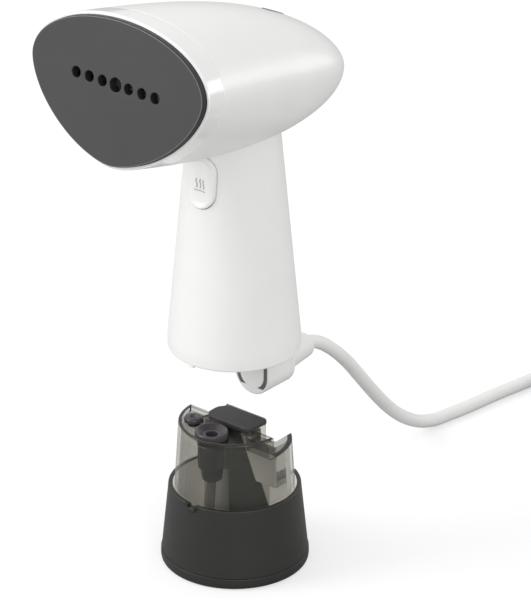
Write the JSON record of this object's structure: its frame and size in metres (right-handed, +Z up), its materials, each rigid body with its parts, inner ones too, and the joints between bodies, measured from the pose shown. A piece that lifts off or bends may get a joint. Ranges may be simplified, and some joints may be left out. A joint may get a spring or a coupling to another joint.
{
  "type": "handheld garment steamer",
  "caption": "Handheld garment steamer: bullet-shaped head with a leaning steam plate, conical handle with a trigger, mains lead, and a smoked water tank that pushes up into the handle.",
  "frame": {"origin": "centre of the tank's flat base, on the surface that the tank stands on", "axes": "+Z up along the handle and tank axis, -Y the way the steam plate faces, X across the head; the handle hangs above the tank, undocked, at rest"},
  "size_m": [0.1851, 0.425, 0.3193],
  "materials": {
    "white_gloss": "gloss",
    "white_satin": "satin",
    "plate_grey": "satin",
    "lens": "gloss",
    "circuit_board": "satin",
    "cast_aluminium": "cast",
    "steel": "satin",
    "black_plastic": "satin",
    "ceramic": "glazed",
    "silicone": "satin",
    "black_silicone": "matte",
    "pump_plastic": "satin",
    "copper_winding": "enamelled",
    "plunger_red": "satin",
    "wire_sheath": "satin",
    "cord_white": "satin",
    "plug_metal": "plated",
    "smoke_dark": "gloss",
    "smoke_clear": "clear, smoked",
    "seal_rubber": "matte",
    "tube_grey": "satin"
  },
  "bodies": {
    "handset": {"steam_plate": "plate_grey", "plate_gasket": "black_silicone", "front_collar": "white_gloss", "head_shell": "white_gloss", "indicator_lens": "lens", "indicator_board": "circuit_board", "steam_chamber": "cast_aluminium", "chamber_cover": "cast_aluminium", "heating_element": "steel", "thermostat": "black_plastic", "thermal_fuse": "ceramic", "heat_shield": "steel", "chamber_screws": "steel", "steam_hose": "silicone", "handle_sleeve": "white_satin", "handle_core": "white_satin", "dock_bulkhead": "white_satin", "inlet_spigot": "pump_plastic", "dock_tongue": "white_satin", "tongue_rear_cover": "white_satin", "tongue_slit_inserts": "black_plastic", "pump_body": "pump_plastic", "pump_coil": "copper_winding", "pump_bracket": "steel", "feed_hose": "silicone", "microswitch": "black_plastic", "terminal_block": "ceramic", "wire_loom": "wire_sheath", "cord_clamp": "black_plastic", "chassis_screws": "steel", "cord_boot": "cord_white", "cord_lead": "cord_white", "cord_coil": "cord_white", "cord_tail": "cord_white", "cord_tie": "black_plastic", "plug_relief": "cord_white", "plug_body": "cord_white", "plug_pins": "plug_metal"},
    "pump_piston": {"pump_piston": "steel"},
    "plunger": {"switch_plunger": "plunger_red"},
    "trigger": {"trigger": "white_satin", "trigger_spring": "steel"},
    "tank": {"tank_base": "smoke_dark", "tank_skirt": "smoke_dark", "tank_vessel": "smoke_clear", "outlet_seal": "seal_rubber", "outlet_housing": "smoke_clear", "suction_tube": "tube_grey", "inlet_filter": "tube_grey", "vent_seal": "seal_rubber"},
    "filler_cap": {"filler_cap": "seal_rubber"}
  },
  "joints": [
    {"name": "tank_dock", "type": "slide", "parent": "handset", "child": "tank", "axis": [0, 0, 1], "range_m": [0, 0.0772]},
    {"name": "trigger_press", "type": "slide", "parent": "handset", "child": "trigger", "axis": [0, 1, 0], "range_m": [0, 0.0025], "stiffness_N_per_m": 700},
    {"name": "plunger_press", "type": "slide", "parent": "handset", "child": "plunger", "axis": [0, 1, 0], "range_m": [0, 0.0025]},
    {"name": "piston_stroke", "type": "slide", "parent": "handset", "child": "pump_piston", "axis": [0, 0, 1], "range_m": [0, 0.004], "stiffness_N_per_m": 600},
    {"name": "cap_hinge", "type": "hinge", "parent": "tank", "child": "filler_cap", "pos_m": [0.0155, 0, 0.07825], "axis": [0, 1, 0], "range_deg": [0, 100], "deforming": ["filler_cap"]}
  ],
  "couplings": [
    {"joint": "plunger_press", "follows": "trigger_press", "ratio": 1}
  ]
}
